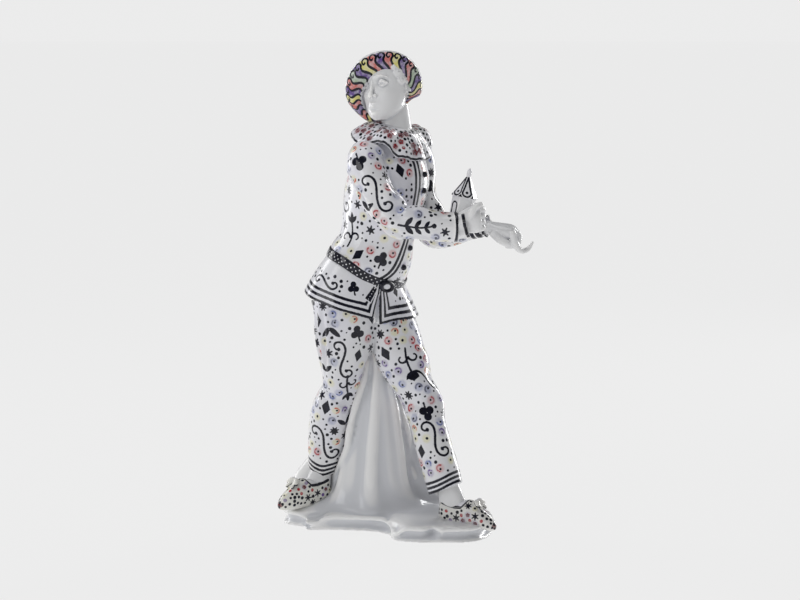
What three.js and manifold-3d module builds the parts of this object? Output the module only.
// A porcelain figure of a strolling player: round hat, ruff, belted jacket, loose trousers and bowed shoes.
// One hand holds a small six-sided lantern, and a draped stump and a low scrolled base carry the figure.
// Body, lantern, stump and base are fired together, so they are joined into one solid.
//
// Millimetres, +Z up. The origin is the middle of the base's underside, and the player is seen from -Y.
// "Left" and "right" of a limb are the player's own.

import * as THREE from 'three';
import { LoftGeometry } from 'three/addons/geometries/LoftGeometry.js';
import { mergeVertices } from 'three/addons/utils/BufferGeometryUtils.js';
import Module from 'manifold-3d';

// Driving dimensions

const FIGURE_HEIGHT = 243; // top of the base to top of the hat
const BASE_WIDTH = 113;
const BASE_DEPTH = 75;
const BASE_THICK = 7;
const BASE_COVE = 1.6; // how far the edge is scooped in between its foot and its lip
const BASE_CROWN = 2.2; // how far the top rises from the lip to the middle

const HEAD_HEIGHT = 34.5;
const HAT_RADIUS = 20.6;
const HAT_BRIM_THICK = 7;
const HAT_CROWN_HEIGHT = 7;

const RUFF_RADIUS = 21.5;
const RUFF_THICK = 1.8;
const RUFF_FRILLS = 12;
const RUFF_FRILL_DEPTH = 0.9;

const BELT_WIDTH = 4.8;
const BELT_THICK = 0.9;
const BUCKLE_WIDTH = 8.4;
const BUCKLE_HEIGHT = 7.2;
const BUCKLE_THICK = 1.6;
const HEM_SPLIT_WIDTH = 4.4;
const HEM_SPLIT_HEIGHT = 11;

const BUTTON_COUNT = 6;
const BUTTON_RADIUS = 1.5;

const LANTERN_RADIUS = 6.3;
const LANTERN_WALL_HEIGHT = 16;
const LANTERN_EAVE = 0.7; // how far the roof stands out past the walls
const LANTERN_ROOF_HEIGHT = 11;
const LANTERN_KNOB_RADIUS = 1.3;
const LANTERN_KNOB_HEIGHT = 4;
const LANTERN_LEAN = 11; // degrees

const SHOE_LENGTH = 31.5;
const SHOE_WIDTH = 10.4;
const BOW_RADIUS = 2.1;
const FINGER_RADIUS = 1.55;
const FRILL_WAVES = 8;

// The pose's own measure: its heights run from the ground under the base's crown up to the top of the hat

const POSE = { ground: 7, top: 250 };
const poseScale = FIGURE_HEIGHT / (POSE.top - POSE.ground);

function spot([x, y, z]) {
  const place = new THREE.Vector3(x, y, z - POSE.ground).multiplyScalar(poseScale);
  place.z += BASE_THICK;
  return place;
}

const wasm = await Module();
wasm.setup();

// Solids

function solidOf(geometry) {
  const bare = new THREE.BufferGeometry();
  bare.setAttribute('position', geometry.attributes.position);
  bare.setIndex(geometry.index);
  const merged = mergeVertices(bare, 1e-4);
  return new wasm.Manifold(new wasm.Mesh({
    numProp: 3,
    vertProperties: merged.attributes.position.array,
    triVerts: new Uint32Array(merged.index.array),
  }));
}

function geometryOf(solid) {
  const mesh = solid.getMesh();
  const geometry = new THREE.BufferGeometry();
  geometry.setAttribute('position', new THREE.BufferAttribute(new Float32Array(mesh.vertProperties), 3));
  geometry.setIndex(new THREE.BufferAttribute(new Uint32Array(mesh.triVerts), 1));
  geometry.computeVertexNormals();
  return geometry;
}

const join = (solids) => solids.reduce((whole, piece) => whole.add(piece));
const loft = (sections) => solidOf(new LoftGeometry(sections, { capStart: true, capEnd: true }));
const upTo = (count) => Array.from({ length: count }, (_, i) => i);
const bump = (value, centre, width) => Math.exp(-(((value - centre) / width) ** 2));

// A level direction, in degrees from -Y (towards the viewer) round to +X

function level(degrees) {
  const angle = THREE.MathUtils.degToRad(degrees);
  return new THREE.Vector3(Math.sin(angle), -Math.cos(angle), 0);
}

// One oval section, square to `along`. Its angle runs from the front round by the left side.
// `proud` gives how far the surface stands out at an angle, and `crowd` draws the points to the front.

function section({ at, along, front, wide, deep }, sides, proud = () => 0, crowd = 0) {
  const normal = along.clone().normalize();
  const ahead = front.clone().projectOnPlane(normal).normalize();
  const aside = new THREE.Vector3().crossVectors(normal, ahead);
  return upTo(sides).map((i) => {
    const even = i / sides * 2 * Math.PI;
    const angle = even - crowd * Math.sin(even);
    const out = ahead.clone().multiplyScalar(deep * Math.cos(angle));
    out.addScaledVector(aside, wide * Math.sin(angle));
    return at.clone().add(out).addScaledVector(out.clone().normalize(), proud(angle) * poseScale);
  });
}

// The oval at each share of the way through a few stations:
// [place, half width, half depth, facing, direction along the form].
// Without a direction the oval is square to the line through the places.

function course(stations) {
  const through = (points) => new THREE.CatmullRomCurve3(points, false, 'catmullrom', 0.5);
  const line = through(stations.map(([place]) => spot(place)));
  const sized = ([, wide, deep, facing]) => new THREE.Vector3(wide * poseScale, deep * poseScale, facing);
  const sizes = through(stations.map(sized));
  const leans = stations[0][4] && through(stations.map(([, , , , along]) => new THREE.Vector3(...along)));
  const step = 0.01;
  return (share) => {
    const { x: wide, y: deep, z: facing } = sizes.getPoint(share);
    const before = line.getPoint(Math.max(0, share - step));
    const along = leans ? leans.getPoint(share) : line.getPoint(Math.min(1, share + step)).sub(before);
    return { at: line.getPoint(share), along, front: level(facing), wide, deep };
  };
}

// A soft form along a course of ovals, with folds that stand proud by angle and share of the length

function limb(stations, rows, sides, folds = () => 0, crowd = 0) {
  const oval = course(stations);
  return loft(upTo(rows + 1).map((row) => {
    const share = row / rows;
    return section(oval(share), sides, (angle) => folds(angle, share), crowd);
  }));
}

// A thin round bar, its radius given at each place

function bar(places, radii, rows = 3, sides = 5) {
  return limb(places.map((place, i) => [place, radii[i], radii[i], 0]), rows, sides);
}

// Places a shape made round +Z at a place, turned so that its axis points along `axis`

function aimed(geometry, at, axis) {
  const up = new THREE.Vector3(0, 0, 1);
  const turn = new THREE.Quaternion().setFromUnitVectors(up, axis.clone().normalize());
  geometry.applyQuaternion(turn);
  geometry.translate(at.x, at.y, at.z);
  return solidOf(geometry);
}

const UPRIGHT = [0, 0, 1];

// Base: a low slab with a scooped edge, lobed and notched like a rolling scroll

const BASE_OUTLINE = [
  [-0.50, 0.19], [-0.49, 0.08], [-0.43, 0.0], [-0.395, -0.03], [-0.37, -0.12], [-0.24, -0.125],
  [-0.1, -0.2], [-0.035, -0.3], [0.0, -0.45], [0.1, -0.48], [0.25, -0.495], [0.38, -0.47],
  [0.45, -0.36], [0.485, -0.17], [0.475, 0.05], [0.4, 0.28], [0.27, 0.44], [0.08, 0.5],
  [-0.13, 0.48], [-0.33, 0.44], [-0.475, 0.33],
];

function base() {
  const marks = BASE_OUTLINE.map(([x, y]) => new THREE.Vector3(x * BASE_WIDTH, y * BASE_DEPTH, 0));
  const outline = new THREE.CatmullRomCurve3(marks, true, 'catmullrom', 0.5);
  const corners = 38;
  const around = upTo(corners).map((i) => outline.getPoint(i / corners));
  const ring = (inset, height) => around.map((point) => {
    const inwards = point.clone().setZ(0).normalize();
    return point.clone().addScaledVector(inwards, -inset).setZ(height);
  });
  return loft([
    ring(BASE_COVE * 0.4, 0),
    ring(BASE_COVE, BASE_THICK * 0.35),
    ring(0, BASE_THICK * 0.9),
    ring(1.5, BASE_THICK),
    ring(10, BASE_THICK + BASE_CROWN * 0.5),
    ring(22, BASE_THICK + BASE_CROWN),
  ]);
}

// Stump: a hanging cloth between the legs that spreads into the base

function stump() {
  const pleats = (angle, share) => {
    const wave = 1.2 * Math.cos(7 * angle + 0.6) + 0.5 * Math.cos(12 * angle);
    return wave * (1 - 0.6 * share);
  };
  return limb([
    [[-5, 10, 5], 40, 19, 0, UPRIGHT],
    [[-6, 10, 11], 30, 16, 0, UPRIGHT],
    [[-7, 10, 17], 24, 14.5, 0, UPRIGHT],
    [[-7.2, 10, 26], 20.5, 13.5, 0, UPRIGHT],
    [[-6.5, 10, 42], 17.5, 12.5, 0, UPRIGHT],
    [[-5.5, 8, 64], 12.6, 10, 0, UPRIGHT],
    [[-5.5, 7, 82], 8, 7.5, 0, UPRIGHT],
    [[-6.5, 5, 98], 6, 6, 0, UPRIGHT],
  ], 9, 21, pleats);
}

// Trains of the same cloth: one rises behind the right foot, the other spreads behind the left leg

function rightTrain() {
  return limb([
    [[-33, 28, 5], 20.5, 9.2, 0, UPRIGHT],
    [[-33.5, 28, 14], 20.5, 8.7, 0, UPRIGHT],
    [[-33, 27, 22], 17.7, 8, 0, UPRIGHT],
    [[-30.5, 25, 31], 13.6, 7.5, 0, UPRIGHT],
    [[-22, 18.5, 47], 8, 7, 0, UPRIGHT],
    [[-14, 12, 60], 3, 3, 0, UPRIGHT],
  ], 5, 12);
}

function leftTrain() {
  return limb([
    [[13, 17, 5], 20, 13, 0, UPRIGHT],
    [[14, 17, 12], 17, 11, 0, UPRIGHT],
    [[13.5, 16, 24], 12.5, 9, 0, UPRIGHT],
    [[9.5, 15, 42], 8.8, 7.6, 0, UPRIGHT],
    [[5, 13, 62], 5.4, 6, 0, UPRIGHT],
    [[-1, 9, 80], 2.5, 2.5, 0, UPRIGHT],
  ], 5, 12);
}

// A low mound that the right shoe stands on

function mound() {
  return limb([
    [[-38, 10.5, 5], 9, 13, -57, UPRIGHT],
    [[-37.5, 10.5, 9.5], 7, 11, -57, UPRIGHT],
    [[-36.5, 11, 13], 4.5, 7, -57, UPRIGHT],
  ], 2, 10);
}

// Trousers

const RIGHT_LEG = [
  [[-21, 0, 121], 18.6, 16, 20],
  [[-21.4, -1, 107.7], 17, 14.5, 15],
  [[-23.3, -1, 93.3], 13.1, 12.5, 10],
  [[-23.8, 1, 82.4], 10.9, 11, 5],
  [[-24.5, 4, 73.4], 9.3, 10, 0],
  [[-27.2, 6, 68.7], 10.4, 10.4, -5],
  [[-29.1, 8, 63], 11.2, 10.6, -10],
  [[-31.5, 10, 52.9], 10.6, 10, -15],
  [[-32.6, 13, 42.6], 9.8, 9.4, -20],
  [[-33.6, 14, 34], 9, 8.8, -25],
  [[-35, 15.5, 26.5], 7.6, 7.8, -30],
];

const LEFT_LEG = [
  [[-2.5, 3.5, 121], 12, 12.5, 30],
  [[1.8, 2.5, 106.6], 13, 13.5, 35],
  [[5.8, 0, 92.6], 13.8, 13, 40],
  [[9.3, -2, 86.1], 12.6, 12.4, 45],
  [[12.8, -4, 77.9], 11.4, 11.4, 45],
  [[18.2, -8, 67], 9.6, 10, 45],
  [[20.2, -11, 59.1], 9.4, 9.8, 45],
  [[23, -14, 49.1], 9.5, 9.4, 45],
  [[27.3, -17, 36], 9.3, 9.2, 45],
  [[29.2, -19, 26.6], 8.8, 8.8, 45],
];

function rightTrouser() {
  const creases = (angle, share) => {
    const aslant = Math.cos(2 * angle - 22 * share);
    const knee = bump(share, 0.42, 0.12) + 0.8 * bump(share, 0.15, 0.12);
    return 0.8 * aslant * knee + 0.3 * Math.cos(2 * angle + 12 * share);
  };
  return limb(RIGHT_LEG, 14, 14, creases);
}

function leftTrouser() {
  const creases = (angle, share) => {
    const aslant = Math.cos(2 * angle + 24 * share);
    return 0.8 * aslant * bump(share, 0.5, 0.2) + 0.3 * Math.cos(3 * angle - 16 * share);
  };
  return limb(LEFT_LEG, 12, 14, creases);
}

// Jacket: from the hem up to the neck, with a tilted belt and a bloused waist

const HEM = [[-14.9, -0.5, 119.2], 28.6, 22.5, 25, [0.25, -0.16, 1]];
const WAIST = [[-11, 0.5, 138.9], 22.6, 18.6, 38, [0.43, -0.3, 1]];

const TORSO = [
  WAIST,
  [[-8.3, 0.2, 145], 22.8, 20.4, 52, [0.32, -0.25, 1]],
  [[-5, 0, 155], 19.8, 19, 62, [0.14, -0.12, 1]],
  [[-2.6, 0, 168], 21, 20.4, 65, [0.05, -0.06, 1]],
  [[-0.8, 0, 181], 23.5, 21.4, 66, [0, 0, 1]],
  [[0.3, 0, 192], 22, 18.5, 66, [0, 0, 1]],
  [[1.8, 0.5, 200], 15, 13.5, 55, [0.03, 0, 1]],
  [[2.8, 0.8, 206], 9, 9, 50, [0.05, 0, 1]],
];

function jacket() {
  const drape = (angle, share) => 0.55 * Math.sin(3 * angle + 10 * share) * Math.sin(Math.PI * share);
  return limb(TORSO, 11, 22, drape);
}

function skirt() {
  const flare = (angle, share) => 0.9 * Math.cos(4 * angle + 1) * (1 - share);
  const cloth = limb([HEM, [[-13.6, 0, 128.2], 26.4, 21, 29, [0.33, -0.22, 1]], WAIST], 4, 24, flare);
  return cloth.subtract(hemSplit());
}

// The notch where the skirt parts below the buckle

function hemSplit() {
  const [place, , deep, facing, along] = HEM;
  const half = HEM_SPLIT_WIDTH / 2;
  const below = 4;
  const outline = new THREE.Shape([
    new THREE.Vector2(0, HEM_SPLIT_HEIGHT),
    new THREE.Vector2(-half, -below),
    new THREE.Vector2(half, -below),
  ]);
  const reach = 6;
  const wedge = new THREE.ExtrudeGeometry(outline, { depth: reach, bevelEnabled: false });
  const up = new THREE.Vector3(...along).normalize();
  const ahead = level(facing).projectOnPlane(up).normalize();
  const aside = new THREE.Vector3().crossVectors(up, ahead);
  const start = spot(place).addScaledVector(ahead, deep * poseScale - reach * 0.6);
  wedge.applyMatrix4(new THREE.Matrix4().makeBasis(aside, up, ahead).setPosition(start));
  return solidOf(wedge);
}

function belt() {
  const { at, along, front, wide, deep } = course(TORSO)(0);
  const up = along.clone().normalize();
  return loft([[-0.5, -1], [-0.42, 1], [0.42, 1], [0.5, -1]].map(([height, proud]) => section({
    at: at.clone().addScaledVector(up, height * BELT_WIDTH),
    along,
    front,
    wide: wide + proud * BELT_THICK,
    deep: deep + proud * BELT_THICK,
  }, 22)));
}

function buckle() {
  const { at, along, front, deep } = course(TORSO)(0);
  const ahead = front.clone().projectOnPlane(along.clone().normalize()).normalize();
  const profile = [[0, -2], [1, -2], [1, 0.4], [0.8, 1], [0, 1]];
  const plate = new THREE.LatheGeometry(profile.map((point) => new THREE.Vector2(...point)), 12);
  plate.rotateX(Math.PI / 2);
  plate.scale(BUCKLE_WIDTH / 2, BUCKLE_HEIGHT / 2, BUCKLE_THICK);
  return aimed(plate, at.clone().addScaledVector(ahead, deep + BELT_THICK), ahead);
}

// Buttons down the front of the jacket, from under the ruff to just above the buckle

function buttons() {
  const oval = course(TORSO);
  const lowest = 0.165;
  const highest = 0.64;
  return upTo(BUTTON_COUNT).map((i) => {
    const share = lowest + (highest - lowest) * i / (BUTTON_COUNT - 1);
    const { at, front, deep } = oval(share);
    const ball = new THREE.SphereGeometry(BUTTON_RADIUS, 6, 4);
    const { x, y, z } = at.addScaledVector(front, deep + BUTTON_RADIUS * 0.4);
    ball.translate(x, y, z);
    return solidOf(ball);
  });
}

// Sleeves, each with a frill at the wrist

const RIGHT_ARM = [
  [[-9.5, -14, 199], 8.5, 8, 0],
  [[-11.5, -19, 193], 9.4, 9.2, 0],
  [[-7.5, -24, 183], 8.9, 8.8, 0],
  [[-1.5, -27, 172.5], 8.8, 8.6, 0],
  [[5.2, -28.5, 165.3], 8.8, 8.4, 0],
  [[14, -28.5, 164], 8.3, 8, 0],
  [[24, -28.3, 161.8], 7.7, 7.6, 0],
  [[33, -28, 160.6], 7.6, 7.4, 0],
];

const LEFT_ARM = [
  [[11.5, 13, 199], 8.5, 8, 0],
  [[15, 15, 192], 9.4, 9.2, 0],
  [[16, 13.5, 180], 9, 9.2, 0],
  [[18.5, 10.5, 168], 8.8, 9, 0],
  [[23.5, 7, 157.6], 9.2, 9.6, 0],
  [[32, 1.5, 156.8], 8.2, 8.2, 0],
  [[41, -5, 159], 6.8, 6.8, 0],
  [[48, -9.8, 160.4], 5.8, 5.8, 0],
];

const elbowFolds = (angle, share) => 0.8 * Math.cos(3 * angle + 22 * share) * bump(share, 0.52, 0.2);

function rightSleeve() {
  return limb(RIGHT_ARM, 11, 12, elbowFolds);
}

function leftSleeve() {
  return limb(LEFT_ARM, 11, 12, elbowFolds);
}

function frill(places, radii) {
  const waves = (angle, share) => 0.5 * Math.cos(FRILL_WAVES * angle) * share;
  return limb(places.map((place, i) => [place, radii[i], radii[i], 0]), 2, FRILL_WAVES * 2, waves);
}

// Hands

const thick = (share) => share * FINGER_RADIUS;

function rightHand() {
  const palm = limb([
    [[34, -28, 161.5], 4, 3.6, 0],
    [[39, -28.5, 164], 6, 4.2, 0],
    [[44, -29.5, 165.6], 7, 4.4, 0],
    [[46.6, -29, 166], 5.6, 3.4, 0],
  ], 4, 8);
  const fingers = upTo(4).map((i) => {
    const z = 170.6 - 3.1 * i;
    const knuckles = [[45, -30.5, z], [48, -28.4, z - 0.2], [47.2, -23.4, z - 0.6], [43, -22.4, z - 0.8]];
    return bar(knuckles, [1.2, 1.13, 1, 0.8].map(thick));
  });
  const joints = [[38, -30.5, 165], [39.6, -33.4, 169], [42.5, -33.6, 172], [46, -32, 173.2]];
  const thumb = bar(joints, [1.55, 1.35, 1.16, 0.9].map(thick));
  return [palm, ...fingers, thumb];
}

function leftHand() {
  const palm = limb([
    [[47, -10.2, 160.2], 3.4, 3.4, 0],
    [[51.6, -12, 159.6], 3.5, 3.8, 0],
    [[57, -13, 158.4], 4, 5.6, 0],
    [[63, -14, 157.6], 3.9, 6.2, 0],
    [[66.4, -14.2, 156.4], 2.2, 4.8, 0],
  ], 5, 8);
  const fingers = upTo(3).map((i) => {
    const y = -10.2 - 3.3 * i;
    const tip = [61.4, y - 0.6, 149.9 + 0.3 * i];
    const knuckles = [[63, y, 158.4], [66.6, y, 156.4], [66, y - 0.4, 151.6], tip];
    return bar(knuckles, [1.25, 1.2, 1.1, 0.9].map(thick));
  });
  const crooked = [[63.5, -19.4, 157.4], [65.6, -18.6, 151], [68.4, -16.6, 148.2], [71.7, -15, 148.8]];
  const pointer = bar([...crooked, [74.6, -14, 152.6]], [1.3, 1.2, 1, 0.87, 0.45].map(thick), 6);
  const joints = [[54.5, -16, 157], [58, -18.2, 153.8], [63, -17.6, 151.4]];
  const thumb = bar(joints, [1.7, 1.5, 1.2].map(thick));
  return [palm, ...fingers, pointer, thumb];
}

// Lantern: six walls under a pointed roof, leaning a little in the right hand

function lantern() {
  const sides = 6;
  const foot = 5;
  const narrow = LANTERN_RADIUS * 0.94;
  const wall = new THREE.CylinderGeometry(LANTERN_RADIUS, narrow, LANTERN_WALL_HEIGHT, sides);
  wall.translate(0, foot + LANTERN_WALL_HEIGHT / 2, 0);
  const stem = new THREE.CylinderGeometry(LANTERN_RADIUS * 0.62, LANTERN_RADIUS * 0.45, foot + 1, sides);
  stem.translate(0, (foot + 1) / 2, 0);
  const eave = LANTERN_RADIUS + LANTERN_EAVE;
  const roofTop = 0.9;
  const roof = new THREE.CylinderGeometry(roofTop, eave, LANTERN_ROOF_HEIGHT, sides);
  roof.translate(0, foot + LANTERN_WALL_HEIGHT + LANTERN_ROOF_HEIGHT / 2, 0);
  const knob = new THREE.SphereGeometry(1, 8, 6);
  knob.scale(LANTERN_KNOB_RADIUS, LANTERN_KNOB_HEIGHT / 2, LANTERN_KNOB_RADIUS);
  knob.translate(0, foot + LANTERN_WALL_HEIGHT + LANTERN_ROOF_HEIGHT + LANTERN_KNOB_HEIGHT * 0.4, 0);
  const { x, y, z } = spot([34.9, -25.5, 155.6]);
  return [wall, stem, roof, knob].map((geometry) => {
    geometry.rotateY(THREE.MathUtils.degToRad(-12));
    geometry.rotateX(Math.PI / 2);
    geometry.rotateY(THREE.MathUtils.degToRad(LANTERN_LEAN));
    geometry.translate(x, y, z);
    return solidOf(geometry);
  });
}

// Ruff: a frilled collar that slopes from the neck onto the shoulders

function ruff() {
  const centre = [1.6, 1, 201.5];
  const along = new THREE.Vector3(0.27, -0.19, 1).normalize();
  const neck = 8.6;
  const middle = spot(centre);
  const ring = ([radius, height, wave]) => section({
    at: middle.clone().addScaledVector(along, height * poseScale),
    along,
    front: level(50),
    wide: radius,
    deep: radius,
  }, RUFF_FRILLS * 3).map((point, i) => {
    const crest = wave * Math.cos(i / 3 * 2 * Math.PI);
    const out = point.sub(middle).multiplyScalar(1 + 0.05 * crest);
    return middle.clone().add(out).addScaledVector(along, crest * RUFF_FRILL_DEPTH);
  });
  return loft([
    [neck * poseScale, -5, 0],
    [RUFF_RADIUS - 1, -RUFF_THICK, 1],
    [RUFF_RADIUS, 0, 1],
    [RUFF_RADIUS * 0.72, RUFF_THICK + 5.4, 0.5],
    [neck * poseScale, 11, 0],
  ].map(ring));
}

// Head: an egg-shaped skull with a calm, plain face, turned to the player's right

const HEAD_FACING = -32; // degrees
const HEAD_FOOT = [0.9, -1.3, 214.9]; // the level of the chin, under the middle of the skull
const HEAD_UP = new THREE.Vector3(-0.08, 0.14, 1).normalize(); // thrown back, leaning to the player's right

// [share of the head's height, half width, half depth, how far forward], as shares of the head's height

const SKULL = [
  [-0.03, 0.08, 0.1, 0.25],
  [0.03, 0.17, 0.19, 0.2],
  [0.12, 0.25, 0.28, 0.12],
  [0.25, 0.295, 0.34, 0.07],
  [0.4, 0.325, 0.39, 0.02],
  [0.55, 0.345, 0.415, 0],
  [0.7, 0.34, 0.41, -0.015],
  [0.84, 0.29, 0.35, -0.02],
  [0.94, 0.19, 0.24, -0.02],
  [1.0, 0.07, 0.09, -0.02],
];

function skullCourse() {
  const through = (points) => new THREE.CatmullRomCurve3(points, false, 'catmullrom', 0.5);
  const heights = through(SKULL.map(([height, wide, deep]) => new THREE.Vector3(height, wide, deep)));
  const leads = through(SKULL.map(([height, , , lead]) => new THREE.Vector3(height, lead, 0)));
  return (share) => {
    const { x: height, y: wide, z: deep } = heights.getPoint(share);
    const lead = leads.getPoint(share).y;
    return { height, wide: wide * HEAD_HEIGHT, deep: deep * HEAD_HEIGHT, lead: lead * HEAD_HEIGHT };
  };
}

// How far the features stand out, by the height and by the angle from the front

function features(height, angle) {
  const side = Math.abs(angle > Math.PI ? angle - 2 * Math.PI : angle);
  const { smoothstep } = THREE.MathUtils;
  const bridge = smoothstep(height, 0.29, 0.33) * (1 - smoothstep(height, 0.33, 0.56));
  const nose = 3.4 * bridge * bump(side, 0, 0.12 + 0.1 * bump(height, 0.31, 0.05));
  const sockets = -1.5 * bump(side, 0.42, 0.22) * bump(height, 0.5, 0.06);
  const lids = 0.7 * bump(side, 0.42, 0.12) * bump(height, 0.49, 0.03);
  const brows = 0.6 * bump(side, 0.3, 0.35) * bump(height, 0.59, 0.04);
  const cheeks = 0.5 * bump(side, 0.62, 0.25) * bump(height, 0.36, 0.08);
  const lips = 0.8 * bump(side, 0, 0.24) * bump(height, 0.19, 0.035);
  const chin = 0.9 * bump(side, 0, 0.35) * bump(height, 0.06, 0.05);
  return (nose + sockets + lids + brows + cheeks + lips + chin) * HEAD_HEIGHT / 32 / poseScale;
}

function head() {
  const skull = skullCourse();
  const front = level(HEAD_FACING).projectOnPlane(HEAD_UP).normalize();
  const rows = 14;
  return loft(upTo(rows + 1).map((row) => {
    const { height, wide, deep, lead } = skull(row / rows);
    const at = spot(HEAD_FOOT).addScaledVector(HEAD_UP, height * HEAD_HEIGHT).addScaledVector(front, lead);
    return section({ at, along: HEAD_UP, front, wide, deep }, 20, (angle) => features(height, angle), 0.5);
  }));
}

function neck() {
  return bar([[4.4, 1, 200], [3.6, 1, 211], [2, 2, 226]], [9, 8.7, 7.8], 2, 12);
}

// A place on the head, by its height, the angle from the front and how proud it stands

function onHead(height, degrees, proud) {
  const front = level(HEAD_FACING + degrees).projectOnPlane(HEAD_UP).normalize();
  const reach = 0.345 + 0.07 * Math.cos(THREE.MathUtils.degToRad(degrees)) ** 2;
  const at = spot(HEAD_FOOT).addScaledVector(front, reach * HEAD_HEIGHT + proud);
  return at.addScaledVector(HEAD_UP, height * HEAD_HEIGHT);
}

function headBall(height, degrees, proud, half) {
  const ball = new THREE.SphereGeometry(1, 6, 4);
  ball.scale(...half.map((size) => size * HEAD_HEIGHT));
  ball.rotateZ(THREE.MathUtils.degToRad(HEAD_FACING + degrees));
  const { x, y, z } = onHead(height, degrees, proud);
  ball.translate(x, y, z);
  return solidOf(ball);
}

function ears() {
  return [-98, 98].map((degrees) => headBall(0.45, degrees, -0.4, [0.055, 0.05, 0.1]));
}

// Curls of hair at both temples, under the brim

function curls() {
  return [-1, 1].flatMap((side) => upTo(3).map((i) => {
    const degrees = side * (52 + 19 * i);
    const height = 0.74 - 0.075 * i;
    return headBall(height, degrees, -0.7, [0.085, 0.085, 0.085]);
  }));
}

// Hat: a padded round brim tipped back off the forehead, with a soft crown behind

const HAT_HEIGHT = 0.51; // the middle of the brim, as a share of the head's height
const HAT_SIDE = -2.3; // how far the hat sits to the side of the head
const HAT_AHEAD = 4.5; // how far the hat sits forward over the forehead
const HAT_AXIS = level(11).setZ(-0.36).normalize(); // from the crown towards the face
const HAT_HOLE_DROP = 9; // how far the brim's rings sink towards its middle, for the head to fit through

// [share of the radius, share of the brim's thickness or the crown's height], from the middle outwards

const BRIM = [
  [0.25, 0.44], [0.58, 0.38], [0.72, 0.56], [0.88, 0.42],
  [0.98, 0.14], [0.99, -0.16], [0.88, -0.42], [0.7, -0.52],
];
const CROWN = [[0.62, -0.1], [0.55, -0.65], [0.3, -0.97], [0.1, -1]];

function hat() {
  const centre = spot(HEAD_FOOT).addScaledVector(HEAD_UP, HAT_HEIGHT * HEAD_HEIGHT);
  centre.addScaledVector(HAT_AXIS, HAT_AHEAD);
  centre.x += HAT_SIDE;
  const behind = -0.52 * HAT_BRIM_THICK;
  const rows = [
    ...BRIM.map(([out, height]) => [out, height * HAT_BRIM_THICK, HAT_HOLE_DROP * Math.min(0, out - 1)]),
    ...CROWN.map(([out, height]) => [out, behind + height * HAT_CROWN_HEIGHT, 0]),
  ];
  const up = new THREE.Vector3(0, 0, 1).projectOnPlane(HAT_AXIS).normalize();
  return loft(rows.reverse().map(([out, height, rise]) => section({
    at: centre.clone().addScaledVector(HAT_AXIS, height).addScaledVector(up, rise),
    along: HAT_AXIS,
    front: up,
    wide: out * HAT_RADIUS,
    deep: out * HAT_RADIUS,
  }, 24)));
}

// Shoes: low slippers that rise at the vamp and run to a point, each with a bow

const RIGHT_SHOE = { heel: [-31.6, 14, 13.8], toe: [-57.6, -3, 9.8] };
const LEFT_SHOE = { heel: [26.8, -17.6, 8.8], toe: [56.4, -30.4, 4.6] };

// [share of the length from heel to toe, share of the half width, height of the sole, height of the top]

const LAST = [
  [0, 0.46, 0.8, 8.8],
  [0.07, 0.76, 0, 9.8],
  [0.25, 0.9, -0.9, 9.2],
  [0.42, 0.96, -1, 11.4],
  [0.58, 1, -0.6, 11],
  [0.76, 0.96, 0, 8.8],
  [0.92, 0.66, 0, 6],
  [1, 0.22, 0.6, 2.8],
];

function shoe({ heel, toe }) {
  const start = spot(heel);
  const along = spot(toe).sub(start).normalize();
  const up = new THREE.Vector3(0, 0, 1).projectOnPlane(along).normalize();
  const through = (points) => new THREE.CatmullRomCurve3(points);
  const soles = through(LAST.map(([share, wide, sole]) => new THREE.Vector3(share, wide, sole)));
  const tops = through(LAST.map(([share, , , top]) => new THREE.Vector3(share, top, 0)));
  const rows = 9;
  return loft(upTo(rows + 1).map((row) => {
    const { x: share, y: wide, z: sole } = soles.getPoint(row / rows);
    const top = tops.getPoint(row / rows).y;
    const at = start.clone().addScaledVector(along, share * SHOE_LENGTH);
    at.addScaledVector(up, (sole + top) / 2);
    return section({ at, along, front: up, wide: wide * SHOE_WIDTH / 2, deep: (top - sole) / 2 }, 10);
  }));
}

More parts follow.
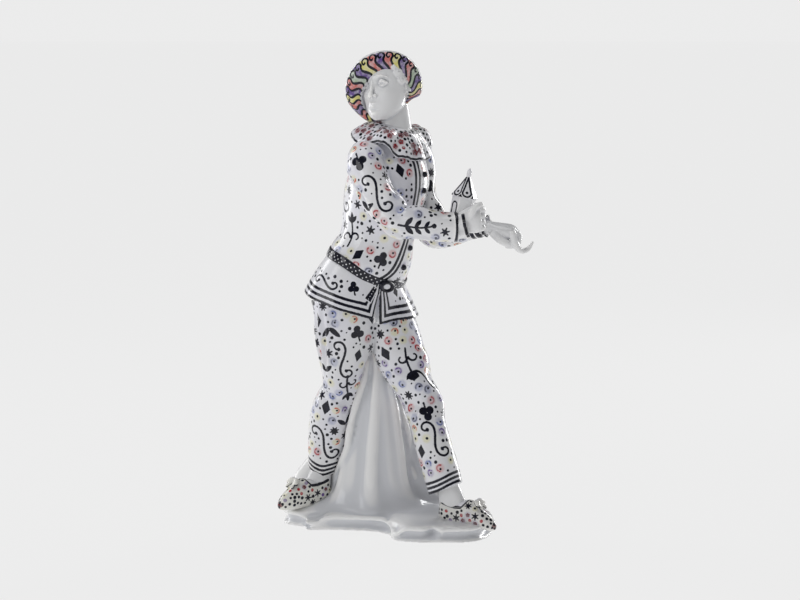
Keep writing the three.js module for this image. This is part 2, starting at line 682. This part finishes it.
function bow({ heel, toe }) {
  const start = spot(heel);
  const along = spot(toe).sub(start).normalize();
  const aside = new THREE.Vector3(0, 0, 1).cross(along).normalize();
  const knot = start.clone().addScaledVector(along, SHOE_LENGTH * 0.64);
  knot.z += 10.4;
  return [[0, 0, 0.6], [1.25, 0.2, 1], [-1.25, 0.2, 1]].map(([across, ahead, size]) => {
    const ball = new THREE.SphereGeometry(BOW_RADIUS * size, 6, 4);
    ball.scale(1, 1, 0.8);
    const at = knot.clone().addScaledVector(aside, across * BOW_RADIUS);
    const { x, y, z } = at.addScaledVector(along, ahead * BOW_RADIUS);
    ball.translate(x, y, z);
    return solidOf(ball);
  });
}

// Feet rise out of the shoes, long at the instep, and narrow to the ankles inside the trousers

function foot(stations) {
  return limb(stations, 3, 10);
}

const RIGHT_FOOT = [
  [[-38.4, 9.8, 15], 3.6, 8.2, -57, UPRIGHT],
  [[-37.6, 11, 21], 4.5, 7.6, -57, UPRIGHT],
  [[-35.2, 14, 30], 5.2, 5.6, -57, UPRIGHT],
];

const LEFT_FOOT = [
  [[34.6, -20.9, 10], 3.5, 8, 66, UPRIGHT],
  [[33.4, -20.4, 18], 4.5, 7.4, 66, UPRIGHT],
  [[30.4, -19.2, 29], 5.2, 5.6, 66, UPRIGHT],
];

const porcelain = join([
  base(),
  stump(),
  rightTrain(),
  leftTrain(),
  mound(),
  rightTrouser(),
  leftTrouser(),
  skirt(),
  jacket(),
  belt(),
  buckle(),
  ...buttons(),
  rightSleeve(),
  leftSleeve(),
  frill([[31.5, -28, 160.7], [35, -28, 161], [38.6, -28, 161.8]], [6.6, 6.2, 6]),
  frill([[46.5, -9, 160.2], [49, -10.4, 160.5], [51, -11.4, 160.5]], [4.4, 4.9, 5.3]),
  ...rightHand(),
  ...leftHand(),
  ...lantern(),
  ruff(),
  neck(),
  head(),
  ...ears(),
  ...curls(),
  hat(),
  shoe(RIGHT_SHOE),
  shoe(LEFT_SHOE),
  ...bow(RIGHT_SHOE),
  ...bow(LEFT_SHOE),
  foot(RIGHT_FOOT),
  foot(LEFT_FOOT),
]);

const material = new THREE.MeshStandardMaterial({ color: 0xf1f1f3, roughness: 0.12, metalness: 0 });
const player = new THREE.Mesh(geometryOf(porcelain), material);
player.name = 'porcelain_figure';

const figure = new THREE.Group();
figure.add(player);

export default figure;
